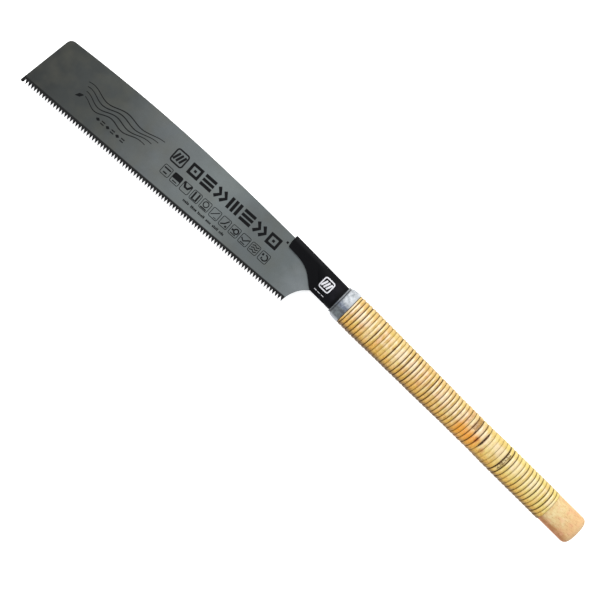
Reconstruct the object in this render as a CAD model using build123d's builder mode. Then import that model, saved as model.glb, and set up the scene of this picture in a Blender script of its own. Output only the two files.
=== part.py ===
from build123d import *
import math
import os

# Japanese pull saw with a replaceable blade, lying on its side.
# +X runs along the handle towards the butt, +Y towards the blade's back, +Z up.
# Every sub-part is drawn from the middle of the ferrule's front edge, on the
# handle axis, in the blade's own mid-plane; AXIS_POINT says where that is.
AXIS_POINT = (21.55, 22.37, 11.22)

# blade (in the blade's own frame: x along the tooth line towards the toe, y to the back)
BLADE_THICKNESS = 0.9
HEEL_TIP = (-35.6, -37.55)
RAKE = 4.27
TOOTH_COUNT = 92
FIRST_GULLET = 2.75
LAST_GULLET = 299.3
GULLET_DEPTHS = (3.3, 3.0)
TIP_LEAN = 0.28
PIN_IN_BLADE = (-23.08, 32.42)
NOTCH_RADIUS = 4.06
TANG_HOLE = (-14.4, 39.3)
TANG_HOLE_RADIUS = 2.5

# folded sheet-steel holder
PIN_CENTRE = (-15.0, -3.5)
PIN_RADIUS = 4.0
SPINE_Y = 13.05
SPINE_RISE = 0.0155
SHEET = 1.2
CHEEK_THICKNESS = 3.5
GRIP_SLOT = 1.1
GRIP_SLOT_TOP = 11.6
RELIEF_SLOT = 1.7
RELIEF_SLOT_TOP = 11.9
RELIEF_START = -42.0
# flare of the holder: distance from the ferrule, half height, half thickness
FLARE = (
    (-41.0, 1.0, 1.2),
    (-33.0, 4.2, 2.2),
    (-25.0, 7.6, 3.5),
    (-17.0, 10.8, 5.0),
    (-9.0, 12.7, 6.4),
    (0.0, 12.9, 7.8),
    (5.0, 12.8, 8.0),
)
TANG_HALF_HEIGHT = 7.0
TANG_END = 75.0
TANG_PIN_X = (30.0, 60.0)
TANG_PIN_RADIUS = 1.5
TANG_PIN_HALF_LENGTH = 9.0

# ferrule: station, half width and half thickness, all on a centre a little off the axis
FERRULE = (
    (-0.8, 13.5, 9.2),
    (1.0, 13.7, 9.4),
    (3.0, 14.4, 10.0),
    (5.0, 14.85, 10.45),
    (8.0, 15.1, 10.7),
    (11.6, 15.2, 10.85),
)
FERRULE_CENTRE = 0.4
FERRULE_WALL = 0.8

# cane wrap: station, half width and half thickness of its outside
WRAP = (
    (11.6, 15.6, 11.2),
    (28.0, 15.87, 11.2),
    (56.0, 15.5, 11.0),
    (84.0, 15.25, 10.8),
    (112.0, 14.95, 10.6),
    (140.0, 14.45, 10.35),
    (172.0, 14.3, 10.25),
    (200.0, 14.65, 10.4),
    (262.0, 14.7, 10.4),
)
WRAP_START = 11.8
WRAP_SPLICE = 200.6
WRAP_END = 260.6
CANE = 1.4
FLATTENING = 0.45
FIT = 0.05

# wooden core
CORE_FRONT = 5.1
TAIL_SIZE = (14.35, 10.0)
TAIL_CENTRE = 0.25
BUTT = 294.5
BUTT_RADIUS = 4.9


def at(x, y=0.0, z=0.0):
    # a point given from the ferrule's front centre
    return (AXIS_POINT[0] + x, AXIS_POINT[1] + y, AXIS_POINT[2] + z)


def cross_plane(x, y=0.0):
    # plane across the handle, its own x along +Y and its own y along +Z
    return Plane(origin=at(x, y), x_dir=(0, 1, 0), z_dir=(1, 0, 0))


def spine(x):
    # height of the holder's spine, rising slightly towards the blade
    return SPINE_Y - SPINE_RISE * x


def size_at(table, x):
    # half width and half thickness at a station between two rows of a table
    row = max(i for i in range(len(table) - 1) if table[i][0] <= x)
    low, high = table[row], table[row + 1]
    share = (x - low[0]) / (high[0] - low[0])
    return low[1] + share * (high[1] - low[1]), low[2] + share * (high[2] - low[2])


def stations(table, start, end):
    # the two ends of a length and every station of the table between them
    return [start] + [row[0] for row in table if start + 3.0 < row[0] < end - 3.0] + [end]


def oval(x, size, inset, centre=0.0):
    # one oval section across the handle axis
    width, thickness = size
    with BuildSketch(cross_plane(x, centre)) as section:
        Ellipse(width - inset, thickness - inset)
    return section.sketch


def wrap_section(x, inset):
    # oval section with narrow flats where the handle lies in the palm
    width, thickness = size_at(WRAP, x)
    with BuildSketch(cross_plane(x)) as section:
        Ellipse(width - inset, thickness + FLATTENING - inset)
        Rectangle(2 * width, 2 * (thickness - inset), mode=Mode.INTERSECT)
    return section.sketch


def wrap_sections(start, end, inset):
    return [wrap_section(x, inset) for x in stations(WRAP, start, end)]


def ferrule_sections(start, inset):
    last = FERRULE[-1][0]
    places = stations(FERRULE, start, last) if start > 0 else [row[0] for row in FERRULE]
    sizes = [size_at(FERRULE, x) for x in places]
    return [oval(x, size, inset, FERRULE_CENTRE) for x, size in zip(places, sizes)]


def flare_sections(inset, first):
    # sections of the holder's flare, all touching the spine
    sections = []
    for x, height, thickness in FLARE[first:]:
        with BuildSketch(cross_plane(x, spine(x) - height)) as section:
            Ellipse(height - inset, thickness - inset)
        sections.append(section.sketch)
    return sections


def tooth_line():
    # zig-zag of tips and gullets from the heel to the toe
    pitch = (LAST_GULLET - FIRST_GULLET) / TOOTH_COUNT
    points = [(0.0, 0.0)]
    for tooth in range(TOOTH_COUNT):
        gullet = FIRST_GULLET + tooth * pitch
        points.append((gullet, GULLET_DEPTHS[tooth % 2]))
        points.append((gullet + TIP_LEAN * pitch, 0.0))
    points.append((LAST_GULLET, GULLET_DEPTHS[0]))
    return points


def tang_profile(front, gap):
    # side view of the tang's outside: two legs closing into one double tongue
    sheet = SHEET + gap
    with BuildSketch(Plane(origin=at(0.0), x_dir=(1, 0, 0), z_dir=(0, -1, 0))) as profile:
        with BuildLine():
            Polyline(
                (front, 6.5 + gap),
                (1.0, 6.3 + gap),
                (13.0, sheet),
                (TANG_END + gap, sheet),
                (TANG_END + gap, -sheet),
                (13.0, -sheet),
                (1.0, -6.3 - gap),
                (front, -6.5 - gap),
                close=True,
            )
        make_face()
    return profile.sketch


def core_half(keep):
    # one half of the core: nose in the ferrule, waist under the cane, bare tail
    nose_end = FERRULE[-1][0]
    shoulder = WRAP_END + FIT
    loft(ferrule_sections(CORE_FRONT, FERRULE_WALL + FIT))
    loft(wrap_sections(nose_end, shoulder, CANE + FIT))
    tail = [oval(shoulder, TAIL_SIZE, 0.0, TAIL_CENTRE), oval(BUTT, TAIL_SIZE, 0.0, TAIL_CENTRE)]
    loft(tail)
    fillet(edges().group_by(Axis.X)[-1], BUTT_RADIUS)
    extrude(tang_profile(0.0, FIT), amount=TANG_HALF_HEIGHT + FIT, both=True, mode=Mode.SUBTRACT)
    for x in TANG_PIN_X:
        with Locations(at(x)):
            Cylinder(TANG_PIN_RADIUS + 0.02, 40.0, mode=Mode.SUBTRACT)
    split(bisect_by=Plane(origin=at(0.0)), keep=keep)


def wrap_length(start, end):
    # a length of the cane wrap as one oval tube
    loft(wrap_sections(start, end, 0.0))
    loft(wrap_sections(start, end, CANE), mode=Mode.SUBTRACT)


# blade: toothed edge, convex back, tang with its hook and notch
blade_plane = Plane(
    origin=at(*HEEL_TIP),
    x_dir=(-math.cos(math.radians(RAKE)), -math.sin(math.radians(RAKE)), 0),
    z_dir=(0, 0, -1),
)
notch_mouth = math.radians(165.0)
notch_top = (PIN_IN_BLADE[0], PIN_IN_BLADE[1] + NOTCH_RADIUS)
notch_front = (PIN_IN_BLADE[0] + NOTCH_RADIUS, PIN_IN_BLADE[1])
notch_rear = (
    PIN_IN_BLADE[0] + NOTCH_RADIUS * math.cos(notch_mouth),
    PIN_IN_BLADE[1] + NOTCH_RADIUS * math.sin(notch_mouth),
)
with BuildPart() as blade:
    with BuildSketch(blade_plane):
        with BuildLine():
            Polyline(*tooth_line())
            Line((LAST_GULLET, GULLET_DEPTHS[0]), (299.75, 0.3))
            Spline((299.75, 0.3), (300.5, -0.45), (302.1, -0.45), (302.8, 0.6))
            Line((302.8, 0.6), (292.85, 51.45))
            ThreePointArc((292.85, 51.45), (290.65, 55.3), (286.3, 56.8))
            Spline(
                (286.3, 56.8),
                (250.0, 58.2),
                (220.0, 58.85),
                (195.0, 59.0),
                (170.0, 58.7),
                (140.0, 57.9),
                (110.0, 56.55),
                (80.0, 54.9),
                (50.0, 52.85),
                (26.6, 51.15),
            )
            Line((26.6, 51.15), (-21.7, 47.55))
            Spline(
                (-21.7, 47.55),
                (-24.6, 46.7),
                (-28.2, 44.8),
                (-32.6, 40.0),
                (-34.3, 35.25),
                tangents=((-1, -0.0745), (-0.05, -1)),
            )
            ThreePointArc((-34.3, 35.25), (-33.9, 33.75), (-32.6, 33.35))
            Line((-32.6, 33.35), notch_rear)
            ThreePointArc(notch_rear, notch_top, notch_front)
            Line(notch_front, (-17.65, 27.4))
            Spline((-17.65, 27.4), (-11.05, 21.8), (-7.5, 18.5), (-4.9, 15.0), (-2.2, 9.6), (-0.5, 3.8), (0.0, 0.0))
        make_face()
        with Locations(TANG_HOLE):
            Circle(TANG_HOLE_RADIUS, mode=Mode.SUBTRACT)
    extrude(amount=BLADE_THICKNESS / 2, both=True)
blade.part.label = "blade"

# blade holder: sheet folded along the spine, flaring into an oval skirt and a tang
with BuildPart() as blade_holder:
    with BuildSketch(Plane(origin=at(0.0))):
        with BuildLine():
            Polyline((-65.9, 13.2), (-65.75, 7.5), (-65.0, 3.4))
            RadiusArc((-65.0, 3.4), (-63.2, 1.6), -1.9)
            Line((-63.2, 1.6), (-56.0, 1.35))
            Spline(
                (-56.0, 1.35),
                (-52.0, 1.1),
                (-47.4, 0.5),
                (-43.6, -0.5),
                (-39.9, -1.85),
                (-34.8, -4.95),
                (-31.0, -7.85),
                (-27.2, -10.95),
                (-24.4, -12.8),
                tangents=((1, -0.03), (1, -0.62)),
            )
            Polyline((-24.4, -12.8), (-9.0, -12.8), (-3.0, -12.4), (-3.0, spine(-3.0)), (-65.1, spine(-65.1)))
            RadiusArc((-65.1, spine(-65.1)), (-65.9, 13.2), -0.8)
        make_face()
    extrude(amount=CHEEK_THICKNESS / 2, both=True)
    fillet(edges().filter_by(lambda edge: edge.length > 60.0), 1.2)
    loft(flare_sections(0.0, 0))
    loft(flare_sections(SHEET, 1), mode=Mode.SUBTRACT)
    extrude(tang_profile(-1.5, 0.0), amount=TANG_HALF_HEIGHT, both=True)
    with BuildSketch(Plane(origin=at(0.0), x_dir=(1, 0, 0), z_dir=(0, -1, 0))):
        with BuildLine():
            Polyline((-2.0, 5.3), (0.5, 5.1), (10.4, 0.0), (0.5, -5.1), (-2.0, -5.3), close=True)
        make_face()
    extrude(amount=TANG_HALF_HEIGHT, both=True, mode=Mode.SUBTRACT)
    with Locations(at(-54.0, GRIP_SLOT_TOP)):
        Box(24.2, 30.0, GRIP_SLOT, align=(Align.CENTER, Align.MAX, Align.CENTER), mode=Mode.SUBTRACT)
    with Locations(at(RELIEF_START, RELIEF_SLOT_TOP)):
        Box(32.0, 30.0, RELIEF_SLOT, align=(Align.MIN, Align.MAX, Align.CENTER), mode=Mode.SUBTRACT)
    with Locations(at(*PIN_CENTRE)):
        Cylinder(PIN_RADIUS + 0.02, 30.0, mode=Mode.SUBTRACT)
    for x in TANG_PIN_X:
        with Locations(at(x)):
            Cylinder(TANG_PIN_RADIUS + 0.02, 10.0, mode=Mode.SUBTRACT)
blade_holder.part.label = "blade_holder"

# hook pin: riveted through both cheeks and dressed flush with the flare
with BuildPart() as hook_pin:
    loft(flare_sections(0.0, 0))
    with Locations(at(*PIN_CENTRE)):
        Cylinder(PIN_RADIUS, 30.0, mode=Mode.INTERSECT)
hook_pin.part.label = "hook_pin"

# ferrule: drawn oval collar with a rounded front
with BuildPart() as ferrule:
    loft(ferrule_sections(-0.8, 0.0))
    fillet(edges().group_by(Axis.X)[0], 0.35)
    loft(ferrule_sections(1.2, FERRULE_WALL), mode=Mode.SUBTRACT)
    with BuildSketch(cross_plane(-0.8, FERRULE_CENTRE - 0.25)):
        Ellipse(FLARE[-2][1] + 0.1, FLARE[-1][2] + 0.2)
    extrude(amount=2.4, mode=Mode.SUBTRACT)
ferrule.part.label = "ferrule"

# wooden core: two glued halves closed round the tang
with BuildPart() as core_half_top:
    core_half(Keep.TOP)
core_half_top.part.label = "core_half_top"

with BuildPart() as core_half_bottom:
    core_half(Keep.BOTTOM)
core_half_bottom.part.label = "core_half_bottom"

# tang pins: two cross pins through core and tang, covered by the cane
with BuildPart() as tang_pins:
    for x in TANG_PIN_X:
        with Locations(at(x)):
            Cylinder(TANG_PIN_RADIUS, 2 * TANG_PIN_HALF_LENGTH)
tang_pins.part.label = "tang_pins"

# cane wrap: a long first strip and a shorter second one behind the splice
with BuildPart() as cane_wrap_front:
    wrap_length(WRAP_START, WRAP_SPLICE - FIT)
cane_wrap_front.part.label = "cane_wrap_front"

with BuildPart() as cane_wrap_rear:
    wrap_length(WRAP_SPLICE + FIT, WRAP_END)
cane_wrap_rear.part.label = "cane_wrap_rear"

os.makedirs("parts", exist_ok=True)
export_step(blade.part, "parts/blade.step")
export_step(blade_holder.part, "parts/blade_holder.step")
export_step(hook_pin.part, "parts/hook_pin.step")
export_step(ferrule.part, "parts/ferrule.step")
export_step(core_half_top.part, "parts/core_half_top.step")
export_step(core_half_bottom.part, "parts/core_half_bottom.step")
export_step(tang_pins.part, "parts/tang_pins.step")
export_step(cane_wrap_front.part, "parts/cane_wrap_front.step")
export_step(cane_wrap_rear.part, "parts/cane_wrap_rear.step")

everything = [blade, blade_holder, ferrule, core_half_top, core_half_bottom, cane_wrap_front, cane_wrap_rear]
box = Compound(children=[piece.part for piece in everything]).bounding_box()
print("low", box.min, "high", box.max)
print("hook pin axis", at(*PIN_CENTRE))
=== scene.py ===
import bpy
import math
import random
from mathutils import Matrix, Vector
from mathutils.bvhtree import BVHTree


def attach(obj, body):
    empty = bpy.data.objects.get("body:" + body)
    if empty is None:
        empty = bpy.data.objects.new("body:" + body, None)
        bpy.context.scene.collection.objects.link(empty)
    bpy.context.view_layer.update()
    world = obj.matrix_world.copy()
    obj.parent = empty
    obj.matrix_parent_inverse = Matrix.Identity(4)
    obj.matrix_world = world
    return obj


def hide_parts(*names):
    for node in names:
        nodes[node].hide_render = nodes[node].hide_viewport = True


random.seed(41)
scene = bpy.context.scene

# ---------------------------------------------------------------- frame and camera
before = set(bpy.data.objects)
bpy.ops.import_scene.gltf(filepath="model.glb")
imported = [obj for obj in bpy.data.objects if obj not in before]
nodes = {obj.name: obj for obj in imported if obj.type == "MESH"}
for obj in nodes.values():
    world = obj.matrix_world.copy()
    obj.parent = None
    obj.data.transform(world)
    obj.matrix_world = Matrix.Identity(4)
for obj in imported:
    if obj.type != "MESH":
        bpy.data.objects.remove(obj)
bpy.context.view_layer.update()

MM = 0.001
# the ferrule's front centre, on the handle axis in the blade's mid-plane (row frame, mm)
AXIS_POINT = (21.55, 22.37, 11.22)
# blade frame: heel tooth tip, u along the tooth line to the toe, v towards the back
HEEL_TIP = (-35.6, -37.55)
RAKE = math.radians(4.27)
TOOTH_COUNT = 92
FIRST_GULLET = 2.75
LAST_GULLET = 299.3
# the blade's upper face, above its mid-plane
BLADE_TOP = 0.45

# cane wrap: station, half width and half thickness of its outside
WRAP = (
    (11.6, 15.6, 11.2),
    (28.0, 15.87, 11.2),
    (56.0, 15.5, 11.0),
    (84.0, 15.25, 10.8),
    (112.0, 14.95, 10.6),
    (140.0, 14.45, 10.35),
    (172.0, 14.3, 10.25),
    (200.0, 14.65, 10.4),
    (262.0, 14.7, 10.4),
)
WRAP_START = 12.2
WRAP_END = 260.6
# thickness of the split cane
CANE = 1.35
# the winding's landmarks: turn number and the station of the gap in front of that turn,
# along the top of the handle; between two of them the pitch is even
GAPS = (
    (-4, 2.0),
    # the half-width first turn behind the ferrule
    (-1, 12.0),
    (0, 14.6),
    # four wide turns, the first of them torn
    (35, 162.2),
    (39, 182.9),
    # the splice
    (43, 201.2),
    # the pitch tightens towards the tail
    (50, 232.8),
    (56, 257.9),
    (60, 275.0),
)
SPLICE_TURN = 42.5
# the two dark gaps at the splice, and how much each side of them stands back
SPLICE_GAPS = (43.0, 44.0)
SPLICE_OPENING = 0.3
# the gap that stands open, and the tight turns behind it
LOOSE_TURN = 38.0
LOOSE_OPENING = 0.85
TIGHT_TURNS = (38.6, 42.4)
# the middle of the torn place and how far its surface is sunk
TORN_TURN = 35.55
TORN_DEPTH = 0.3
TORN_SIDE = (1.2, 13.0)
# the turns bow towards the blade round the sides and slant across the handle,
# and both change a little with each turn
BOW = 0.7
BOW_GROWTH = 0.038
SLANT = -0.28
SLANT_GROWTH = 0.0055
# how far the wound strips stand proud of the plain tube at the sides
SWELL = 0.35
# the oval's roundness: 1 is an ellipse, less is boxier
OVAL_POWER = 0.92
# about half the handle's width: places the open gap and the torn patch across it
SIDE_REACH = 15.0
# sections in one turn, points across a strip's outside, and the width below which no section is made
STEPS_PER_TURN = 56
STRIP_POINTS = 11
NARROWEST_STRIP = 0.35


def at(x, y=0.0, z=0.0):
    """A point in millimetres from the ferrule's front centre, as a row-frame vector in metres."""
    return Vector(((AXIS_POINT[0] + x) * MM, (AXIS_POINT[1] + y) * MM, (AXIS_POINT[2] + z) * MM))


# the camera looks straight down from about a metre
camera_data = bpy.data.cameras.new("camera")
camera_data.lens = 70.0
camera_data.sensor_width = 36.0
camera = bpy.data.objects.new("camera", camera_data)
scene.collection.objects.link(camera)
camera.location = at(-24.13, -24.9, 1034.0)
camera.rotation_euler = (0.0, 0.0, math.radians(44.7))
scene.camera = camera


# ---------------------------------------------------------------- node helpers
class Nodes:
    """Short calls for building one material's node tree."""

    def __init__(self, name):
        self.material = bpy.data.materials.new(name)
        self.material.use_nodes = True
        self.tree = self.material.node_tree
        self.tree.nodes.clear()
        self.out = self.tree.nodes.new("ShaderNodeOutputMaterial")
        self.shader = self.tree.nodes.new("ShaderNodeBsdfPrincipled")
        self.link(self.shader.outputs[0], self.out.inputs[0])
        self.place = self.tree.nodes.new("ShaderNodeTexCoord").outputs["Object"]

    def link(self, source, target):
        self.tree.links.new(source, target)

    def put(self, socket, value):
        """Links an output to a socket, or sets a plain value on it."""
        if hasattr(value, "is_output"):
            self.link(value, socket)
        else:
            socket.default_value = value

    def constant(self, **values):
        """Sets plain values on the shader's own sockets."""
        for key, value in values.items():
            self.shader.inputs[key.replace("_", " ")].default_value = value

    def math(self, operation, a, b):
        node = self.tree.nodes.new("ShaderNodeMath")
        node.operation = operation
        self.put(node.inputs[0], a)
        self.put(node.inputs[1], b)
        return node.outputs[0]

    def times(self, a, b):
        return self.math("MULTIPLY", a, b)

    def shifted(self, value, noise, reach):
        """A value moved up and down by a noise, by at most half the reach either way."""
        return self.math("ADD", value, self.times(self.math("SUBTRACT", noise, 0.5), reach))

    def dot(self, direction, offset=0.0):
        """Distance in mm along a direction, from the ferrule's front centre plus an offset."""
        node = self.tree.nodes.new("ShaderNodeVectorMath")
        node.operation = "DOT_PRODUCT"
        self.link(self.place, node.inputs[0])
        node.inputs[1].default_value = [1000.0 * c for c in direction]
        start = sum(a * c for a, c in zip(AXIS_POINT, direction))
        return self.math("SUBTRACT", node.outputs["Value"], start + offset)

    def attribute(self, name):
        """A value that the mesh carries at each of its points."""
        node = self.tree.nodes.new("ShaderNodeAttribute")
        node.attribute_name = name
        return node.outputs["Fac"]

    def scaled(self, x=1.0, y=1.0, z=1.0):
        """Object coordinates with each axis stretched, in mm."""
        node = self.tree.nodes.new("ShaderNodeVectorMath")
        node.operation = "MULTIPLY"
        self.link(self.place, node.inputs[0])
        node.inputs[1].default_value = (1000.0 * x, 1000.0 * y, 1000.0 * z)
        return node.outputs[0]

    def noise(self, scale, detail=3.0, rough=0.5, vector=None, distortion=0.0):
        """Noise between 0 and 1; its cells are about 1 / scale mm wide."""
        node = self.tree.nodes.new("ShaderNodeTexNoise")
        self.link(vector if vector is not None else self.scaled(), node.inputs["Vector"])
        node.inputs["Scale"].default_value = scale
        node.inputs["Detail"].default_value = detail
        node.inputs["Roughness"].default_value = rough
        node.inputs["Distortion"].default_value = distortion
        return node.outputs["Fac"]

    def ramp(self, factor, stops):
        """A colour ramp; a stop's colour is three values, or one for a grey."""
        node = self.tree.nodes.new("ShaderNodeValToRGB")
        elements = node.color_ramp.elements
        while len(elements) < len(stops):
            elements.new(0.5)
        for element, (position, colour) in zip(elements, stops):
            element.position = position
            red_green_blue = colour if hasattr(colour, "__len__") else (colour, colour, colour)
            element.color = (*red_green_blue, 1.0)
        self.link(factor, node.inputs[0])
        return node.outputs["Color"]

    def span(self, value, low, high, start=0.0, end=1.0, smooth=False):
        """Goes from start to end while the value goes from low to high."""
        node = self.tree.nodes.new("ShaderNodeMapRange")
        node.interpolation_type = "SMOOTHSTEP" if smooth else "LINEAR"
        node.clamp = True
        self.put(node.inputs["Value"], value)
        node.inputs["From Min"].default_value = low
        node.inputs["From Max"].default_value = high
        node.inputs["To Min"].default_value = start
        node.inputs["To Max"].default_value = end
        return node.outputs["Result"]

    def hill(self, value, foot, top, edge, end):
        """Rises smoothly from 0 to 1 between foot and top, and falls back between edge and end."""
        rise = self.span(value, foot, top, 0.0, 1.0, True)
        fall = self.span(value, edge, end, 1.0, 0.0, True)
        return self.times(rise, fall)

    def mix(self, factor, a, b):
        """Colour a, turning into colour b as the factor goes from 0 to 1."""
        node = self.tree.nodes.new("ShaderNodeMix")
        node.data_type = "RGBA"
        self.put(node.inputs["Factor"], factor)
        for socket, value in ((node.inputs[6], a), (node.inputs[7], b)):
            if hasattr(value, "is_output"):
                self.link(value, socket)
            else:
                socket.default_value = (*value, 1.0)
        return node.outputs[2]

    def bump(self, height, strength, distance):
        """Fine relief on the surface, with its distance in mm."""
        node = self.tree.nodes.new("ShaderNodeBump")
        node.inputs["Strength"].default_value = strength
        node.inputs["Distance"].default_value = distance * MM
        self.link(height, node.inputs["Height"])
        self.link(node.outputs[0], self.shader.inputs["Normal"])

    def finish(self, colour, roughness=None, metallic=None):
        """Links what the shader needs and returns the material."""
        for key, value in (("Base Color", colour), ("Roughness", roughness), ("Metallic", metallic)):
            if value is not None:
                self.link(value, self.shader.inputs[key])
        return self.material


def tint(r, g, b):
    """An sRGB colour given as 0..255, in linear light."""
    return tuple(((c / 255.0 + 0.055) / 1.055) ** 2.4 if c > 10 else c / 255.0 / 12.92 for c in (r, g, b))


def along_blade(n):
    """Distances in mm along the tooth line to the toe (u) and up from it to the back (v)."""
    direction_u = (-math.cos(RAKE), -math.sin(RAKE), 0.0)
    direction_v = (-math.sin(RAKE), math.cos(RAKE), 0.0)
    start_u = HEEL_TIP[0] * direction_u[0] + HEEL_TIP[1] * direction_u[1]
    start_v = HEEL_TIP[0] * direction_v[0] + HEEL_TIP[1] * direction_v[1]
    return n.dot(direction_u, start_u), n.dot(direction_v, start_v)


# ---------------------------------------------------------------- materials
def blade_steel():
    """Mottled grey steel with a painted reflection, darker towards the toe, and a near-black hardened strip
    along the teeth.
    """
    n = Nodes("blade_steel")
    u, v = along_blade(n)
    mottle = n.noise(0.045, 4.0, 0.55)
    fine = n.noise(1.3, 3.0, 0.6)
    # painted reflection: the brightness graded along the blade, darkest at the toe, stands in for the
    # overhead reflection on the steel
    drift = n.shifted(u, mottle, 60.0)
    tone = n.ramp(
        n.span(drift, -20.0, 300.0),
        [
            (0.0, tint(116, 121, 123)),
            (0.12, tint(92, 98, 99)),
            (0.26, tint(88, 93, 94)),
            (0.38, tint(105, 111, 111)),
            (0.58, tint(87, 91, 92)),
            (0.78, tint(59, 62, 61)),
            (1.0, tint(41, 43, 42)),
        ],
    )
    tone = n.mix(n.span(fine, 0.3, 0.7, 0.0, 0.14), tone, tint(52, 54, 52))
    warm = n.span(n.noise(0.06, 2.0, 0.5), 0.4, 0.75, 0.0, 0.28)
    tone = n.mix(warm, tone, tint(84, 82, 70))
    hardened = n.times(n.span(v, 4.8, 5.9, 1.0, 0.0, True), n.span(u, -1.5, 0.0))
    blued = n.ramp(fine, [(0.3, tint(3, 3, 4)), (0.75, tint(10, 11, 12))])
    colour = n.mix(hardened, tone, blued)
    rough = n.math("ADD", n.span(fine, 0.2, 0.8, 0.42, 0.55), n.times(hardened, 0.12))
    n.bump(n.noise(0.8, 5.0, 0.7, n.scaled(0.35, 4.0, 1.0)), 0.25, 0.02)
    n.constant(Specular_IOR_Level=0.2)
    return n.finish(colour, rough, n.span(hardened, 0.0, 1.0, 0.36, 0.0))


def holder_paint():
    """Black paint with a painted highlight along the rounded spine and another on the flare near the
    ferrule.
    """
    n = Nodes("holder_paint")
    along = n.dot((1, 0, 0))
    across = n.dot((0, 1, 0))
    fine = n.noise(2.2, 4.0, 0.6)
    wide = n.noise(0.12, 2.0, 0.5)
    colour = n.ramp(fine, [(0.25, tint(6, 6, 8)), (0.8, tint(12, 13, 15))])
    # painted highlight along the rounded spine, in front of the flare
    front = n.span(along, -34.0, -28.0, 1.0, 0.0)
    spine = n.times(n.span(across, 8.5, 12.5, 0.0, 1.0, True), front)
    colour = n.mix(n.times(spine, 0.6), colour, tint(34, 34, 36))
    # painted highlight on the flare near the ferrule, broken up by a wide noise
    rear = n.times(n.span(along, -18.0, -7.0, 0.0, 1.0, True), n.span(along, -4.0, -2.4, 1.0, 0.0))
    colour = n.mix(n.times(rear, n.span(wide, 0.35, 0.65, 0.1, 0.45)), colour, tint(32, 31, 38))
    n.bump(fine, 0.35, 0.04)
    n.constant(Specular_IOR_Level=0.05)
    return n.finish(colour, n.span(wide, 0.2, 0.8, 0.5, 0.62))


def print_ink():
    """The black print on the blade."""
    n = Nodes("print_ink")
    colour = n.ramp(n.noise(1.1, 3.0, 0.6), [(0.3, tint(6, 7, 8)), (0.75, tint(14, 15, 16))])
    n.constant(Specular_IOR_Level=0.08)
    return n.finish(colour, n.span(n.noise(0.4), 0.3, 0.7, 0.5, 0.62))


def light_ink():
    """The light print on the holder's cheek."""
    n = Nodes("light_ink")
    colour = n.ramp(n.noise(0.9, 3.0, 0.6), [(0.3, tint(186, 186, 190)), (0.7, tint(212, 212, 216))])
    n.constant(Specular_IOR_Level=0.3)
    return n.finish(colour, n.span(n.noise(0.4), 0.3, 0.7, 0.45, 0.6))


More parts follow.
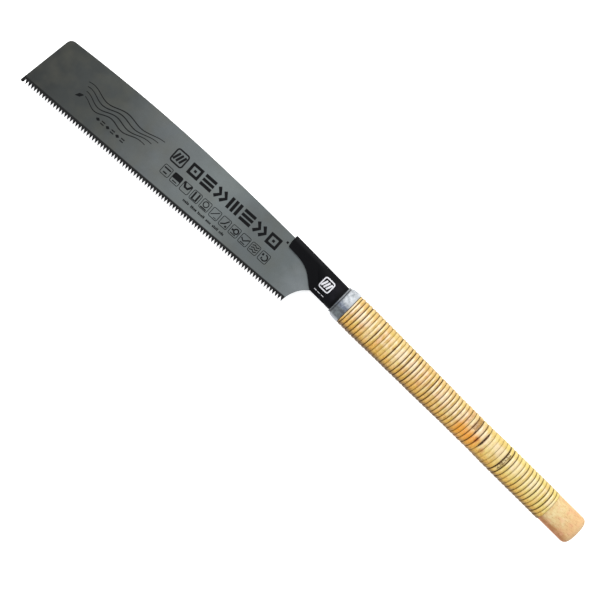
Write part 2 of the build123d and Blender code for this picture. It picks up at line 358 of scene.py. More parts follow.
def cane_skin():
    """Split cane: fibres, a painted highlight across the middle and painted shade on the sides, stains, and
    painted shade on the rims beside the deep gaps.
    """
    n = Nodes("cane_skin")
    along = n.dot((1, 0, 0))
    across = n.dot((0, 1, 0))
    edge = n.attribute("edge")
    turned = n.attribute("turned")
    tone = n.attribute("tone")
    depth = n.attribute("depth")
    fibre = n.noise(0.9, 4.0, 0.6, n.scaled(2.6, 0.35, 0.35))
    blotch = n.noise(0.11, 3.0, 0.6)
    speck = n.noise(0.8, 3.0, 0.7)
    value = n.math("ADD", n.times(tone, 0.55), n.times(blotch, 0.45))
    colour = n.ramp(
        value,
        [
            (0.2, tint(190, 156, 74)),
            (0.36, tint(214, 186, 108)),
            (0.5, tint(226, 206, 154)),
            (0.62, tint(214, 176, 106)),
            (0.8, tint(206, 146, 84)),
        ],
    )
    colour = n.mix(n.span(fibre, 0.3, 0.66, 0.0, 0.45), colour, tint(178, 134, 60))
    # painted highlight: a pale band across the middle of the handle, where the light falls
    highlight_band = n.hill(across, -4.0, 1.0, 7.0, 11.0)
    # painted highlight: a pale streak along the front part of each strip, stronger beside deep gaps and in
    # the middle band
    streak_highlight = n.hill(turned, 0.05, 0.22, 0.3, 0.55)
    streak_highlight = n.times(streak_highlight, n.span(depth, 0.1, 0.8, 0.15, 0.95))
    colour = n.mix(n.times(streak_highlight, n.span(highlight_band, 0.0, 1.0, 0.35, 1.0)), colour, tint(236, 222, 192))
    grain = n.noise(0.45, 3.0, 0.65, n.scaled(2.4, 0.55, 0.55))
    colour = n.mix(n.span(grain, 0.5, 0.7, 0.0, 0.6), colour, tint(160, 112, 48))
    colour = n.mix(n.span(grain, 0.46, 0.3, 0.0, 0.45), colour, tint(232, 214, 176))
    patches = n.noise(0.32, 3.0, 0.6, n.scaled(1.0, 0.6, 0.6))
    colour = n.mix(n.span(patches, 0.5, 0.68, 0.0, 0.5), colour, tint(206, 186, 96))
    colour = n.mix(n.span(patches, 0.47, 0.3, 0.0, 0.45), colour, tint(222, 170, 134))
    spots = n.span(n.noise(0.42, 4.0, 0.7), 0.62, 0.72, 0.0, 0.6)
    colour = n.mix(spots, colour, tint(150, 98, 44))
    # painted shade on the rear part of each strip, stronger beside deep gaps
    strip_shade = n.times(n.span(turned, 0.5, 0.95, 0.0, 1.0, True), n.span(depth, 0.0, 1.0, 0.15, 0.5))
    colour = n.mix(strip_shade, colour, tint(178, 136, 78))
    wavy = n.shifted(across, blotch, 11.0)
    colour = n.mix(n.span(wavy, 6.5, 11.5, 0.0, 0.4, True), colour, tint(200, 170, 96))
    aged = n.span(n.shifted(along, tone, 40.0), 170.0, 200.0, 0.0, 0.4, True)
    colour = n.mix(aged, colour, tint(222, 208, 114))
    # more painted highlight in the middle band, broken up by blotches
    colour = n.mix(n.times(highlight_band, n.span(blotch, 0.35, 0.6, 0.0, 0.5)), colour, tint(226, 208, 180))
    colour = n.mix(n.span(wavy, -4.0, -11.0, 0.0, 0.62, True), colour, tint(216, 164, 58))
    # painted shade darkening the lower edge strongly and the upper edge more weakly
    colour = n.mix(n.span(across, -10.5, -15.0, 0.0, 0.92, True), colour, tint(76, 56, 26))
    colour = n.mix(n.span(across, 12.8, 15.4, 0.0, 0.55, True), colour, tint(150, 122, 66))
    stain = n.times(n.span(wavy, -6.5, -11.0, 0.0, 1.0, True), n.span(speck, 0.5, 0.68, 0.0, 0.75))
    colour = n.mix(stain, colour, tint(128, 70, 18))
    colour = cane_scars(n, colour, along, across, grain, speck)
    # painted shade: the strip rims darken beside the deep gaps
    rim = n.times(n.math("POWER", edge, 5.0), n.span(depth, 0.1, 0.85, 0.12, 1.0))
    colour = n.mix(rim, colour, tint(66, 38, 12))
    n.bump(n.math("ADD", fibre, n.times(speck, 0.5)), 0.4, 0.1)
    n.link(n.span(edge, 0.4, 0.9, 0.3, 0.0), n.shader.inputs["Coat Weight"])
    n.constant(Coat_Roughness=0.2, Specular_IOR_Level=0.15)
    return n.finish(colour, n.span(fibre, 0.2, 0.8, 0.36, 0.52))


def cane_scars(n, colour, along, across, grain, speck):
    """The amber stretch, the torn places, the small burns and the scaly band at the splice."""
    along_edge = n.shifted(along, n.noise(0.5, 3.0, 0.65), 3.0)
    across_edge = n.shifted(across, grain, 6.0)

    def region(x0, x1, y0, y1, soft):
        """A rectangle along and across the handle, in mm, with soft and ragged edges."""
        low = n.span(along_edge, x0 - soft, x0 + soft)
        high = n.span(along_edge, x1 - soft, x1 + soft, 1.0, 0.0)
        near = n.span(across_edge, y0 - soft, y0 + soft)
        far = n.span(across_edge, y1 - soft, y1 + soft, 1.0, 0.0)
        return n.times(n.times(low, high), n.times(near, far))

    amber = n.times(region(150.0, 175.0, -11.5, 0.0, 3.0), n.span(speck, 0.25, 0.6, 0.4, 1.0))
    colour = n.mix(n.times(amber, 0.8), colour, tint(222, 138, 6))
    scar = n.times(region(153.2, 157.0, 1.8, 14.0, 0.4), n.span(speck, 0.3, 0.55))
    torn = n.times(region(161.4, 166.6, 1.4, 13.0, 0.5), n.span(speck, 0.3, 0.6, 0.35, 1.0))
    colour = n.mix(n.times(scar, 0.5), colour, tint(176, 108, 64))
    colour = n.mix(n.times(torn, 0.85), colour, tint(140, 92, 40))
    small_burns = (
        ((165.9, 167.6, -0.4, 1.6, 0.5), 0.85, tint(52, 24, 14)),
        ((170.9, 173.6, -6.0, -0.5, 1.2), 0.9, tint(150, 62, 14)),
        ((180.5, 184.0, -9.0, -5.0, 1.4), 0.7, tint(168, 92, 34)),
        ((64.0, 65.6, 2.2, 3.8, 0.6), 0.8, tint(110, 66, 30)),
    )
    for place, strength, burnt in small_burns:
        colour = n.mix(n.times(region(*place), strength), colour, burnt)
    scaly = n.times(region(200.9, 204.6, -8.0, 8.0, 0.5), n.span(speck, 0.42, 0.56, 0.15, 0.95))
    return n.mix(scaly, colour, tint(96, 70, 44))


def ferrule_metal():
    """Dull grey metal with painted shade in the seam behind the front roll, on the roll and on the lower
    side, a bluish painted reflection, painted highlights on the upper rear part and the bottom edge, and a
    painted shadow at the rear lip.
    """
    n = Nodes("ferrule_metal")
    along = n.dot((1, 0, 0))
    across = n.dot((0, 1, 0))
    spots = n.noise(0.35, 4.0, 0.6)
    fine = n.noise(1.6, 3.0, 0.65)
    colour = n.ramp(
        spots,
        [(0.3, tint(122, 127, 132)), (0.5, tint(158, 162, 166)), (0.7, tint(182, 186, 190))],
    )
    low = n.shifted(across, spots, 9.0)
    # painted reflection: a bluish band across the side
    blue_reflection = n.hill(low, -7.5, -3.5, -3.0, 0.5)
    colour = n.mix(n.times(blue_reflection, 0.7), colour, tint(76, 88, 112))
    shade = n.span(low, -1.0, -7.0, 0.0, 0.92, True)
    colour = n.mix(shade, colour, n.ramp(spots, [(0.35, tint(66, 70, 75)), (0.62, tint(98, 105, 107))]))
    # painted highlight: a pale sheen along the bottom edge, as from light below
    bottom_sheen = n.span(across, -12.4, -14.8, 0.0, 0.7, True)
    colour = n.mix(bottom_sheen, colour, tint(180, 184, 190))
    # painted highlight on the upper side of the rear part
    upper = n.times(n.span(across, -2.0, 3.0, 0.0, 1.0, True), n.span(along, 7.5, 10.0, 0.0, 0.5, True))
    colour = n.mix(upper, colour, tint(196, 201, 205))
    # painted shade on the rounded front roll
    colour = n.mix(n.span(along, 1.8, 2.5, 0.55, 0.0), colour, tint(58, 60, 64))
    # painted shade in the seam groove behind the front roll
    seam = n.times(n.span(along, 0.9, 1.3), n.span(along, 1.8, 2.5, 1.0, 0.0))
    colour = n.mix(n.times(seam, 0.75), colour, tint(48, 50, 54))
    # painted shadow where the wrap meets the ferrule's rear lip
    back = n.span(along, 11.6, 11.9)
    colour = n.mix(n.times(back, 0.7), colour, tint(60, 56, 56))
    n.bump(fine, 0.3, 0.05)
    n.constant(Metallic=0.35)
    return n.finish(colour, n.span(fine, 0.2, 0.8, 0.46, 0.6))


def plain_steel():
    """Bare steel of the hidden pins."""
    n = Nodes("plain_steel")
    fine = n.noise(1.5, 3.0, 0.6, n.scaled(1.0, 1.0, 0.2))
    colour = n.ramp(fine, [(0.2, tint(140, 142, 144)), (0.8, tint(182, 184, 186))])
    n.bump(fine, 0.2, 0.02)
    n.constant(Metallic=0.9)
    return n.finish(colour, n.span(fine, 0.2, 0.8, 0.3, 0.5))


def bare_wood():
    """Pale wood, redder and stained towards the butt, with painted shade where the wrap hides it and on the
    lower side.
    """
    n = Nodes("bare_wood")
    along = n.dot((1, 0, 0))
    across = n.dot((0, 1, 0))
    blotch = n.noise(0.11, 4.0, 0.6, None, 0.6)
    streak = n.noise(0.55, 5.0, 0.7, n.scaled(0.3, 1.0, 1.0), 0.8)
    pores = n.noise(1.5, 2.0, 0.5, n.scaled(0.28, 1.0, 1.0))
    colour = n.ramp(
        blotch,
        [(0.25, tint(222, 206, 158)), (0.5, tint(212, 188, 134)), (0.75, tint(202, 158, 108))],
    )
    drift = n.shifted(along, blotch, 26.0)
    stained = n.span(drift, 266.0, 288.0, 0.0, 0.45, True)
    colour = n.mix(stained, colour, n.ramp(streak, [(0.3, tint(208, 148, 104)), (0.7, tint(220, 176, 128))]))
    low = n.shifted(across, streak, 14.0)
    patch = n.times(n.span(low, -14.0, -5.5, 1.0, 0.0, True), n.span(along, 284.0, 292.0, 1.0, 0.45, True))
    colour = n.mix(n.times(patch, 0.8), colour, tint(158, 92, 40))
    # painted shade on the lower side
    colour = n.mix(n.span(across, -8.5, -12.5, 0.0, 0.6, True), colour, tint(150, 84, 26))
    colour = n.mix(n.span(across, 9.0, 13.8, 0.0, 0.5, True), colour, tint(204, 160, 106))
    blush = n.span(n.noise(0.2, 3.0, 0.6), 0.5, 0.68, 0.0, 0.4)
    colour = n.mix(blush, colour, tint(222, 164, 132))
    # painted shade on the core under the wrap, seen through the gaps
    hidden = n.times(n.span(along, 11.0, 11.6), n.span(along, 260.4, 260.8, 1.0, 0.0))
    colour = n.mix(hidden, colour, tint(30, 17, 6))
    strands = n.noise(0.7, 4.0, 0.75, n.scaled(0.7, 1.6, 1.0), 1.4)
    colour = n.mix(n.span(strands, 0.48, 0.66, 0.0, 0.42), colour, tint(196, 138, 92))
    hole = n.span(pores, 0.6, 0.68, 0.0, 0.55, True)
    colour = n.mix(hole, colour, tint(150, 98, 58))
    n.bump(n.math("SUBTRACT", streak, n.times(hole, 0.6)), 0.4, 0.12)
    n.constant(Specular_IOR_Level=0.25)
    return n.finish(colour, n.span(streak, 0.2, 0.8, 0.42, 0.6))


BLADE_STEEL = blade_steel()
HOLDER_PAINT = holder_paint()
FERRULE_METAL = ferrule_metal()
PLAIN_STEEL = plain_steel()
BARE_WOOD = bare_wood()
PRINT_INK = print_ink()
LIGHT_INK = light_ink()
CANE_SKIN = cane_skin()


def paint(obj, material):
    """Gives the whole object one material."""
    obj.data.materials.clear()
    obj.data.materials.append(material)
    for polygon in obj.data.polygons:
        polygon.material_index = 0


for node_name, node_material in (
    ("blade", BLADE_STEEL),
    ("blade_holder", HOLDER_PAINT),
    ("hook_pin", HOLDER_PAINT),
    ("ferrule", FERRULE_METAL),
    ("core_half_top", BARE_WOOD),
    ("core_half_bottom", BARE_WOOD),
    ("tang_pins", PLAIN_STEEL),
    ("cane_wrap_front", BARE_WOOD),
    ("cane_wrap_rear", BARE_WOOD),
):
    paint(nodes[node_name], node_material)


def new_object(name, vertices, faces, material, body, smooth=False):
    """A mesh object from points in metres, riding on a body."""
    mesh = bpy.data.meshes.new(name)
    mesh.from_pydata([tuple(point) for point in vertices], [], faces)
    mesh.update()
    obj = bpy.data.objects.new(name, mesh)
    scene.collection.objects.link(obj)
    paint(obj, material)
    if smooth:
        mesh.polygons.foreach_set("use_smooth", [True] * len(mesh.polygons))
    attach(obj, body)
    return obj


# ---------------------------------------------------------------- cane wrap
def size_at(x):
    """Half width and half thickness of the wrap's outside at a station."""
    x = min(max(x, WRAP[0][0]), WRAP[-1][0])
    for low, high in zip(WRAP, WRAP[1:]):
        if x <= high[0]:
            share = (x - low[0]) / (high[0] - low[0])
            return low[1] + share * (high[1] - low[1]), low[2] + share * (high[2] - low[2])
    return WRAP[-1][1], WRAP[-1][2]


class Drift:
    """Seeded values that change smoothly from turn to turn."""

    def __init__(self, low, high, per_turn=1):
        self.per_turn = per_turn
        self.values = [random.uniform(low, high) for _ in range(72 * per_turn)]

    def __call__(self, turn):
        place = (turn + 6.0) * self.per_turn
        index = int(math.floor(place))
        share = place - index
        share = share * share * (3.0 - 2.0 * share)
        return self.values[index] * (1.0 - share) + self.values[index + 1] * share


GAP_JITTER = Drift(-0.2, 0.2)
HEIGHT_JITTER = Drift(-0.16, 0.0, 3)
TILT_JITTER = Drift(-0.18, 0.18, 2)
GAP_WIDTH = Drift(-0.02, 0.2, 3)
TONE = Drift(0.0, 1.0, 2)
DEPTH = Drift(0.0, 1.0, 2)


def gap_at(turn):
    """Station of the gap in front of a turn."""
    for low, high in zip(GAPS, GAPS[1:]):
        if turn <= high[0]:
            share = (turn - low[0]) / (high[0] - low[0])
            return low[1] + share * (high[1] - low[1]) + GAP_JITTER(turn)
    return GAPS[-1][1]


def deep(turn):
    """How deep and dark the gap in front of a turn is, up to 1; the turns behind the loose one lie tight."""
    if turn < 0.6:
        return 1.0
    tight = 0.35 if TIGHT_TURNS[0] < turn < TIGHT_TURNS[1] else 1.0
    return (0.25 + 0.75 * DEPTH(turn)) * tight


def half_gap(turn, y):
    """Half the gap's width, opened up at the loose turn and at the splice."""
    plain = max(GAP_WIDTH(turn) * (0.4 + deep(turn)), 0.01)
    opened = LOOSE_OPENING * math.exp(-((turn - LOOSE_TURN) * 1.9) ** 2) * math.exp(-((y - 1.0) / 7.5) ** 4)
    splice = SPLICE_OPENING * sum(math.exp(-((turn - gap) * 3.0) ** 2) for gap in SPLICE_GAPS)
    return plain + opened + splice


def lean_at(turn, angle):
    """How far the strip runs back or forward of its place on top, at an angle from +Y."""
    bow = BOW_GROWTH * turn + BOW
    slant = SLANT_GROWTH * turn + SLANT
    return bow * (math.sin(angle) - 1.0) + slant * math.cos(angle)


def wrap_point(x, angle, offset):
    """Point on the wrap at an angle from +Y, moved outwards by an offset."""
    width, thickness = size_at(x)
    width += SWELL

    def rim(a):
        c, s = math.cos(a), math.sin(a)
        y = width * math.copysign(abs(c) ** OVAL_POWER, c)
        z = thickness * math.copysign(abs(s) ** OVAL_POWER, s)
        return y, z

    y, z = rim(angle)
    ahead, behind = rim(angle + 0.02), rim(angle - 0.02)
    tangent = (ahead[0] - behind[0], ahead[1] - behind[1])
    length = math.hypot(*tangent) or 1.0
    return y + tangent[1] / length * offset, z - tangent[0] / length * offset


def wind(name, replaced, first, last):
    """One cane strip wound left-handed round the core from one turn number to another."""
    steps = int((last - first) * STEPS_PER_TURN)
    vertices = []
    marks = {"edge": [], "tone": [], "depth": [], "turned": []}

    def add_point(q, offset, **values):
        """A point of the strip's section, q of the way across it, with its values for the material."""
        x = start + (end - start) * q
        y, z = wrap_point(x, angle, offset)
        vertices.append(at(x, y, z))
        marks["turned"].append(q)
        marks["tone"].append(TONE(turn))
        for key, value in values.items():
            marks[key].append(value)

    for step in range(steps + 1):
        turn = first + (last - first) * step / steps
        angle = math.pi / 2 - 2 * math.pi * turn
        side = SIDE_REACH * math.cos(angle)
        lean = lean_at(turn, angle)
        start = gap_at(turn) + half_gap(turn, side) + lean
        end = gap_at(turn + 1.0) - half_gap(turn + 1.0, side) + lean
        start = min(max(start, WRAP_START), WRAP_END)
        end = min(max(end, WRAP_START), WRAP_END)
        if end - start < NARROWEST_STRIP:
            continue
        torn = 0.0
        if math.sin(angle) > 0 and TORN_SIDE[0] < side < TORN_SIDE[1]:
            torn = math.exp(-((turn - TORN_TURN) * 1.6) ** 4)
        crown = 0.22 + 0.62 * deep(turn)
        for index in range(STRIP_POINTS):
            q = index / (STRIP_POINTS - 1.0)
            swing = 2.0 * q - 1.0
            offset = HEIGHT_JITTER(turn) - crown * abs(swing) ** 2.4 + TILT_JITTER(turn) * swing
            offset -= TORN_DEPTH * torn
            depth = deep(turn if q < 0.5 else turn + 1.0)
            add_point(q, offset, edge=abs(swing), depth=depth)
        for q in (1.0, 0.0):
            add_point(q, -CANE, edge=1.0, depth=1.0)
    ring = STRIP_POINTS + 2
    count = len(vertices) // ring
    faces = []
    for row in range(count - 1):
        for column in range(ring):
            a = row * ring + column
            b = row * ring + (column + 1) % ring
            faces.append((a, a + ring, b + ring, b))
    faces.append(tuple(range(ring)))
    faces.append(tuple(reversed(range((count - 1) * ring, count * ring))))
    obj = new_object(name, vertices, faces, CANE_SKIN, "handle", True)
    for key, values in marks.items():
        obj.data.attributes.new(key, "FLOAT", "POINT").data.foreach_set("value", values)
    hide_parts(replaced)


wind("cane_strip_front", "cane_wrap_front", -3.5, SPLICE_TURN)
wind("cane_strip_rear", "cane_wrap_rear", SPLICE_TURN + 0.01, 58.5)

# ---------------------------------------------------------------- ferrule
# its middle lies a little towards the blade's back, and each side stands out further than the profile
FERRULE_SHIFT = 0.15
FERRULE_WIDENING = 0.45
# station, half width and half thickness, from the rear lip over the outside to the front roll
# and into the bore
FERRULE_PROFILE = (
    (11.6, 14.4, 10.05),
    (11.85, 14.45, 10.1),
    (11.9, 15.4, 10.75),
    (11.7, 15.5, 10.85),
    (8.0, 15.45, 10.7),
    (5.0, 15.2, 10.45),
    (3.6, 14.9, 10.2),
    (2.8, 14.4, 9.85),
    (2.4, 14.1, 9.6),
    (2.1, 13.85, 9.45),
    (1.9, 13.45, 9.15),
    (1.4, 13.45, 9.15),
    (1.2, 13.7, 9.35),
    (1.0, 13.8, 9.42),
    (0.6, 13.8, 9.42),
    (0.25, 13.7, 9.3),
    (0.0, 13.45, 9.1),
    (-0.1, 13.1, 8.6),
    (0.0, 13.02, 8.3),
    (2.1, 13.02, 8.3),
)


def lathe_oval(name, profile, material, replaced):
    """An oval ring swept through a profile of stations, half widths and half thicknesses."""
    around = 128
    vertices, faces = [], []
    for x, width, thickness in profile:
        for step in range(around):
            angle = 2 * math.pi * step / around
            y = FERRULE_SHIFT + (width + FERRULE_WIDENING) * math.cos(angle)
            vertices.append(at(x, y, thickness * math.sin(angle)))
    for row in range(len(profile)):
        here = row * around
        after = (row + 1) % len(profile) * around
        for step in range(around):
            beside = (step + 1) % around
            faces.append((here + step, here + beside, after + beside, after + step))
    obj = new_object(name, vertices, faces, material, "handle", True)
    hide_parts(replaced)


lathe_oval("ferrule_rolled", FERRULE_PROFILE, FERRULE_METAL, "ferrule")

# ---------------------------------------------------------------- set teeth
# the teeth are made deeper at tip and root, and their tips are set to alternate sides
TOOTH_TIP = 0.4
TOOTH_TOP = 4.0
TOOTH_DEEPER = 0.5
TOOTH_SET = 0.16
toothed = bpy.data.objects.new("blade_set_teeth", nodes["blade"].data.copy())
scene.collection.objects.link(toothed)
toothed.matrix_world = nodes["blade"].matrix_world
paint(toothed, BLADE_STEEL)
pitch = (LAST_GULLET - FIRST_GULLET) / TOOTH_COUNT
for vertex in toothed.data.vertices:
    spot = toothed.matrix_world @ vertex.co
    x = spot.x / MM - AXIS_POINT[0] - HEEL_TIP[0]
    y = spot.y / MM - AXIS_POINT[1] - HEEL_TIP[1]
    u = -x * math.cos(RAKE) - y * math.sin(RAKE)
    v = -x * math.sin(RAKE) + y * math.cos(RAKE)
    if v < TOOTH_TOP and -0.3 < u < LAST_GULLET:
        tooth = int(math.floor((u - FIRST_GULLET) / pitch))
        reach = -TOOTH_DEEPER if v < TOOTH_TIP else TOOTH_DEEPER
        vertex.co.x -= reach * math.sin(RAKE) * MM
        vertex.co.y += reach * math.cos(RAKE) * MM
        if v < TOOTH_TIP:
            vertex.co.z += (TOOTH_SET if tooth % 2 else -TOOTH_SET) * MM
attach(toothed, "saw_blade")
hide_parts("blade")


# ---------------------------------------------------------------- printed marks
def rounded(cx, cy, w, h, r, turns=5):
    """Corner points of a rounded rectangle."""
    points = []
    for sx, sy, start in ((1, 1, 0), (-1, 1, 90), (-1, -1, 180), (1, -1, 270)):
        for step in range(turns + 1):
            angle = math.radians(start + 90.0 * step / turns)
            x = cx + sx * (w / 2 - r) + r * math.cos(angle)
            points.append((x, cy + sy * (h / 2 - r) + r * math.sin(angle)))
    return points


def loop_band(outer, inner):
    """Quads between two closed outlines with the same number of points."""
    count = len(outer)
    return [[outer[i], outer[(i + 1) % count], inner[(i + 1) % count], inner[i]] for i in range(count)]


def frame_band(cx, cy, w, h, r, stroke):
    """A rounded rectangular frame, stroke wide."""
    inner = rounded(cx, cy, w - 2 * stroke, h - 2 * stroke, max(r - stroke, 0.15))
    return loop_band(rounded(cx, cy, w, h, r), inner)


def stroke_path(points, width):
    """Quads along a path, with a width for every point or one for all."""
    widths = width if hasattr(width, "__len__") else [width] * len(points)
    left, right = [], []
    for index, (x, y) in enumerate(points):
        ahead = points[min(index + 1, len(points) - 1)]
        behind = points[max(index - 1, 0)]
        dx, dy = ahead[0] - behind[0], ahead[1] - behind[1]
        length = math.hypot(dx, dy) or 1.0
        ox, oy = -dy / length * widths[index] / 2, dx / length * widths[index] / 2
        left.append((x + ox, y + oy))
        right.append((x - ox, y - oy))
    return [[left[i], right[i], right[i + 1], left[i + 1]] for i in range(len(points) - 1)]


def bar(x0, y0, x1, y1):
    """A filled rectangle."""
    return [[(x0, y0), (x1, y0), (x1, y1), (x0, y1)]]


# the print runs parallel to a line a little flatter than the tooth line
PRINT_CORNER = (-176.0, -15.3)
PRINT_SLOPE = math.atan(0.0526)
# how far the marks stand proud of the steel and of the painted cheek
PRINT_PROUD = 0.03
CHEEK_PROUD = 0.05
# the big row: height of a block, its width and the step from one to the next
BLOCK_TALL = 11.5
BLOCK_WIDE = 12.6
BLOCK_STEP = 15.45


def on_blade(s, t):
    """A point on the blade's upper side, s along the print and t up from it."""
    x = PRINT_CORNER[0] + s * math.cos(PRINT_SLOPE) - t * math.sin(PRINT_SLOPE)
    y = PRINT_CORNER[1] + s * math.sin(PRINT_SLOPE) + t * math.cos(PRINT_SLOPE)
    return at(x, y, BLADE_TOP + PRINT_PROUD)


def print_marks(name, shapes, place, material, body):
    """One flat object made of many small shapes, each laid where place puts its corners."""
    vertices, faces = [], []
    for shape in shapes:
        faces.append(tuple(range(len(vertices), len(vertices) + len(shape))))
        vertices.extend(place(x, y) for x, y in shape)
    new_object(name, vertices, faces, material, body)


def block(start, kind):
    """One bold generic block of the big row: bars, posts, chevrons or a square within a frame."""
    tall = BLOCK_TALL
    a = start
    b = start + BLOCK_WIDE
    if kind == "bars":
        return bar(a, 0, b, 3.0) + bar(a, tall / 2 - 1.4, b, tall / 2 + 1.4) + bar(a, tall - 3.0, b, tall)
    if kind == "posts":
        return bar(a, 0, a + 3.1, tall) + bar(a + 4.8, 0, a + 7.8, tall) + bar(b - 3.1, 0, b, tall)
    if kind == "chevrons":
        shapes = []
        for shift in (0.0, 6.6):
            points = [(a + shift + 1.0, 0.8), (a + shift + 5.2, tall / 2), (a + shift + 1.0, tall - 0.8)]
            shapes += stroke_path(points, 3.2)
        return shapes
    square = bar(a + 5.0, tall / 2 - 1.2, b - 5.0, tall / 2 + 1.2)
    return frame_band(a + BLOCK_WIDE / 2, tall / 2, BLOCK_WIDE, tall, 0.6, 2.6) + square


BIG_ROW = ("frame", "bars", "chevrons", "posts", "bars", "chevrons", "frame")
big_row = []
for place, kind in enumerate(BIG_ROW):
    big_row += block(BLOCK_STEP * place, kind)
# a small square beside the row's upper end
big_row += stroke_path([(108.2, 13.2), (110.2, 13.2)], 2.0)
print_marks("print_big_row", big_row, on_blade, PRINT_INK, "saw_blade")


def badge(cx, cy, size):
    """A plain mark: rounded frame with three slanting bars."""
    shapes = frame_band(cx, cy, size, size, size * 0.2, size * 0.1)
    reach = size * 0.27
    for shift in (-0.24, 0.0, 0.24):
        mid = cx + shift * size
        ends = [(mid - reach * 0.35, cy - reach), (mid + reach * 0.35, cy + reach)]
        shapes += stroke_path(ends, size * 0.15)
    return shapes


print_marks("print_badge", badge(-11.8, 5.4, 14.4), on_blade, PRINT_INK, "saw_blade")


def arc(cx, cy, r, start=0.0, stop=360.0, steps=20):
    """Points along a circle, from one angle in degrees to another."""
    spread = [math.radians(start + (stop - start) * i / steps) for i in range(steps + 1)]
    return [(cx + r * math.cos(a), cy + r * math.sin(a)) for a in spread]


# the small pictures, each drawn round its middle
def wide_and_narrow_bar(x, y):
    return bar(x - 3.6, y + 1.2, x + 3.6, y + 2.6) + bar(x - 2.0, y - 2.9, x + 2.0, y - 1.6)


def block_over_bar(x, y):
    return bar(x - 4.6, y - 0.6, x + 4.6, y + 4.6) + bar(x - 2.4, y - 3.2, x + 2.4, y - 2.3)


def valley(x, y):
    return stroke_path([(x - 4.0, y + 4.2), (x - 1.6, y), (x + 1.6, y), (x + 4.0, y + 4.2)], 2.2)


def two_posts(x, y):
    shapes = stroke_path([(x - 2.2, y - 4.0), (x - 2.2, y + 3.8)], 1.7)
    shapes += stroke_path([(x + 2.2, y - 4.0), (x + 2.2, y + 3.8)], 1.7)
    return shapes + bar(x - 1.2, y - 4.0, x + 1.2, y - 3.0)


def ring_over_bar(x, y):
    return stroke_path(arc(x, y + 0.8, 2.6), 0.95) + bar(x - 3.2, y - 4.0, x + 3.2, y - 2.8)


def thin_slash(x, y):
    shapes = stroke_path([(x - 3.4, y - 2.4), (x + 3.0, y + 3.4)], 0.8)
    return shapes + bar(x + 0.2, y - 3.5, x + 3.4, y - 2.9)


def bent_slash(x, y):
    shapes = stroke_path([(x - 3.0, y - 3.0), (x + 0.2, y - 0.8), (x + 2.6, y + 3.4)], 1.2)
    return shapes + bar(x + 1.6, y - 3.4, x + 3.4, y - 1.6)


def ring_and_blocks(x, y):
    shapes = stroke_path(arc(x + 1.2, y + 0.6, 2.2), 1.3)
    shapes += bar(x - 3.4, y - 0.6, x - 1.6, y + 1.0)
    return shapes + bar(x - 3.0, y - 3.4, x + 3.0, y - 2.6)


def tick_over_bar(x, y):
    shapes = stroke_path([(x - 3.6, y + 0.6), (x - 0.6, y - 1.4), (x + 4.0, y + 2.6)], 1.2)
    return shapes + bar(x - 2.6, y - 3.6, x + 2.6, y - 2.8)


def three_ridges(x, y):
    shapes = []
    for step in range(3):
        low = y - 3.0 + 2.4 * step
        high = low + 1.4
        shapes += stroke_path([(x - 3.4, low), (x - 1.0, high), (x + 1.0, low), (x + 3.4, high)], 1.0)
    return shapes


def open_ring(x, y):
    shapes = stroke_path(arc(x + 0.6, y, 2.8, -120.0, 100.0), 1.2)
    shapes += bar(x - 3.2, y + 0.6, x - 1.4, y + 2.8)
    return shapes + bar(x - 2.2, y - 2.8, x - 1.0, y - 0.8)


PICTURES = (
    wide_and_narrow_bar,
    block_over_bar,
    valley,
    two_posts,
    ring_over_bar,
    thin_slash,
    bent_slash,
    ring_and_blocks,
    tick_over_bar,
    three_ridges,
    open_ring,
)
pictograms = []
for number, picture in enumerate(PICTURES):
    x = -13.3 + 11.55 * number
    y = -10.7
    pictograms += frame_band(x, y, 9.8, 9.8, 1.6, 0.6) + picture(x, y)
print_marks("print_pictograms", pictograms, on_blade, PRINT_INK, "saw_blade")

# a row of groups of short bars, each bar of a random width and height
DASH_LINE = -21.0
DASH_GAP = 0.3
dashes = []
group = 14.5
for length in (7.0, 6.2, 7.6, 5.4, 6.0, 4.2):
    left = group
    while left < group + length - 0.4:
        wide = random.uniform(0.7, 1.5)
        tall = random.choice((1.7, 1.9, 2.4))
        dashes += bar(left, DASH_LINE, left + wide, DASH_LINE + tall)
        left += wide + DASH_GAP
    group += length + 2.1
print_marks("print_dashes", dashes, on_blade, PRINT_INK, "saw_blade")


def wave_line(s0, s1, middle, swing, phase, width):
    """A flowing line that swings less and less from s0 to s1 and is thickest halfway."""
    points, widths = [], []
    for step in range(61):
        share = step / 60.0
        fade = 1.0 - 0.55 * share
        height = middle + 5.0 * share * share + swing * fade * math.sin(phase + share * 4.4 * math.pi)
        points.append((s0 + (s1 - s0) * share, height))
        widths.append(width * (0.8 + 0.5 * math.sin(share * math.pi)))
    return stroke_path(points, widths)


waves = []
for row in range(4):
    waves += wave_line(-117.0 + 2.0 * row, -31.0 - 4.0 * row, 1.0 - 4.3 * row, 2.6, 0.6 + 0.35 * row, 0.75)
# a small spindle at the start of the lowest wave
waves += stroke_path([(-118.5, -14.2), (-115.6, -11.6), (-112.6, -9.4)], [0.5, 3.4, 0.5])
print_marks("print_waves", waves, on_blade, PRINT_INK, "saw_blade")

# diamonds and pairs of short bars by turns
BEAD_WIDE = 3.8
beads = []
for index in range(6):
    left = -91.0 + 5.7 * index
    right = left + BEAD_WIDE
    if index % 2:
        beads += bar(left, -18.6, right, -17.6) + bar(left, -16.3, right, -15.3)
    else:
        middle = left + BEAD_WIDE / 2
        beads += stroke_path([(left, -16.95), (middle, -16.95), (right, -16.95)], [0.5, 3.2, 0.5])
print_marks("print_beads", beads, on_blade, PRINT_INK, "saw_blade")

# the badge and dashes on the holder lie on its curved cheek
graph = bpy.context.evaluated_depsgraph_get()
SURFACES = [BVHTree.FromObject(nodes[name], graph) for name in ("blade_holder", "hook_pin")]


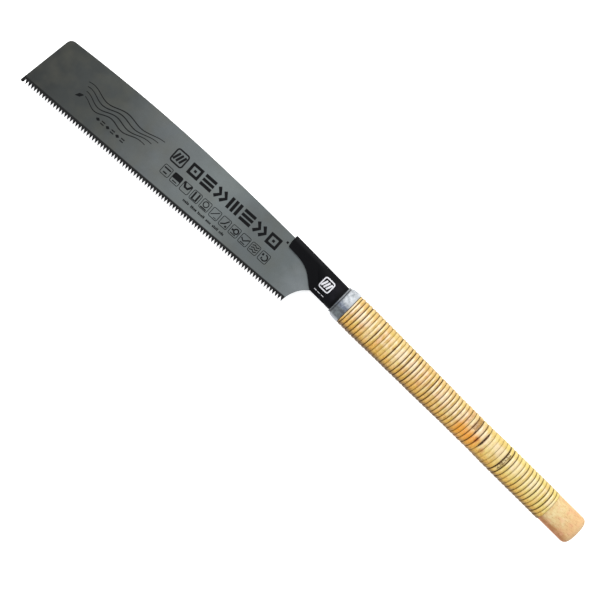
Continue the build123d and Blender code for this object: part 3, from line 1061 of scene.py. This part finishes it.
def on_cheek(x, y):
    """A point just above the holder's cheek; beside the pin's hairline seam it steps 0.1 mm aside."""
    tops = []
    for aside in (0.0, 0.1):
        start = at(x + aside, y, 30.0)
        tops += [surface.ray_cast(start, Vector((0, 0, -1)))[0] for surface in SURFACES]
    point = at(x, y)
    point.z = max(top.z for top in tops if top is not None) + CHEEK_PROUD * MM
    return point


def divide(shapes, longest):
    """Cuts every four-sided shape into smaller ones so that it can follow a curve."""
    small = []
    for a, b, c, d in shapes:
        wide = max(math.dist(a, b), math.dist(d, c))
        tall = max(math.dist(a, d), math.dist(b, c))
        nx = max(1, math.ceil(wide / longest))
        ny = max(1, math.ceil(tall / longest))

        def spot_at(i, j):
            """The shape's point i of nx and j of ny steps in from its first corner."""
            p = i / nx
            q = j / ny
            shares = ((1 - p) * (1 - q), p * (1 - q), p * q, (1 - p) * q)
            corners = (a, b, c, d)
            return tuple(sum(share * corner[k] for share, corner in zip(shares, corners)) for k in (0, 1))

        for i in range(nx):
            for j in range(ny):
                small.append([spot_at(i, j), spot_at(i + 1, j), spot_at(i + 1, j + 1), spot_at(i, j + 1)])
    return small


cheek = badge(-16.4, 1.2, 11.8)
for left, right in ((-22.6, -19.6), (-18.6, -15.4), (-14.4, -11.4)):
    cheek += bar(left, -8.8, right, -8.35)
print_marks("print_cheek", divide(cheek, 0.3), on_cheek, LIGHT_INK, "handle")

# ---------------------------------------------------------------- studio
floor_mesh = bpy.data.meshes.new("floor")
floor_mesh.from_pydata([(-3, -3, 0), (3, -3, 0), (3, 3, 0), (-3, 3, 0)], [], [(0, 1, 2, 3)])
floor = bpy.data.objects.new("floor", floor_mesh)
scene.collection.objects.link(floor)
floor.location.z = -0.0005
floor_nodes = Nodes("floor_white")
floor_nodes.constant(Roughness=0.9, Emission_Color=(1.0, 1.0, 1.0, 1.0), Emission_Strength=0.6)
paint(floor, floor_nodes.finish(floor_nodes.ramp(floor_nodes.noise(0.02), [(0.0, 0.86), (1.0, 0.88)])))


def area_light(name, place, aim, size, power, colour):
    """A rectangular light at a place in metres, aimed at a point."""
    light = bpy.data.lights.new(name, "AREA")
    light.shape = "RECTANGLE"
    light.size, light.size_y = size
    light.energy = power
    light.color = colour
    obj = bpy.data.objects.new(name, light)
    scene.collection.objects.link(obj)
    obj.location = place
    obj.rotation_euler = (Vector(aim) - Vector(place)).to_track_quat("-Z", "Y").to_euler()


area_light("key", (-0.5, 1.1, 1.3), (0, 0, 0), (1.0, 1.0), 25.0, (1.0, 0.99, 0.97))
area_light("fill", (-0.9, -0.5, 1.6), (0, 0, 0), (1.6, 1.6), 8.0, (0.96, 0.98, 1.0))
world = bpy.data.worlds.new("studio")
world.use_nodes = True
world.node_tree.nodes["Background"].inputs[0].default_value = (0.95, 0.97, 1.0, 1.0)
world.node_tree.nodes["Background"].inputs[1].default_value = 0.75
scene.world = world
scene.view_settings.view_transform = "Standard"
